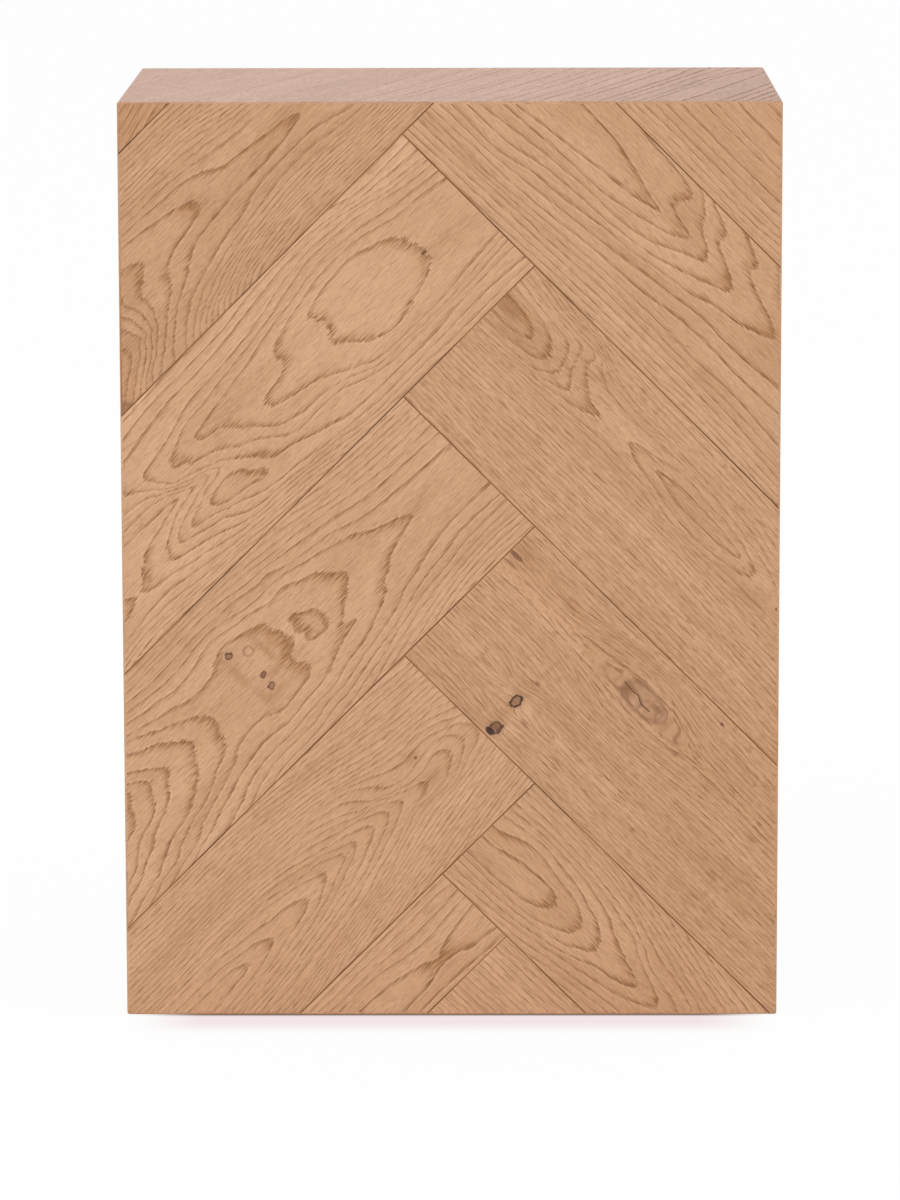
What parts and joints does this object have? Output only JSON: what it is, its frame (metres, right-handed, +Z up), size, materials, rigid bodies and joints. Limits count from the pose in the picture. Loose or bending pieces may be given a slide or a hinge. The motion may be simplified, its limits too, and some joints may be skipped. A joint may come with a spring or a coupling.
{
  "type": "parquet block",
  "caption": "Upright rectangular oak block with a herringbone parquet front and plain oak boards on its other sides, mitred at the edges; stands on its flat base.",
  "frame": {"origin": "centre of the base, on the floor", "axes": "+Z up along the block's height, +X to the right as seen from the parquet front, +Y to the back; the parquet looks along -Y"},
  "size_m": [0.32, 0.205, 0.45],
  "materials": {
    "oak_stave": "matt oiled oak, plain sawn",
    "oak_board": "matt oiled oak",
    "plywood": "bare birch plywood"
  },
  "bodies": {
    "root": {"left_stave_1": "oak_stave", "left_stave_2": "oak_stave", "left_stave_3": "oak_stave", "left_stave_4": "oak_stave", "left_stave_5": "oak_stave", "left_stave_6": "oak_stave", "right_stave_1": "oak_stave", "right_stave_2": "oak_stave", "right_stave_3": "oak_stave", "right_stave_4": "oak_stave", "right_stave_5": "oak_stave", "right_stave_6": "oak_stave", "top_board": "oak_board", "left_board": "oak_board", "right_board": "oak_board", "back_board": "oak_board", "backing_panel": "plywood", "base_board": "plywood"}
  },
  "joints": []
}
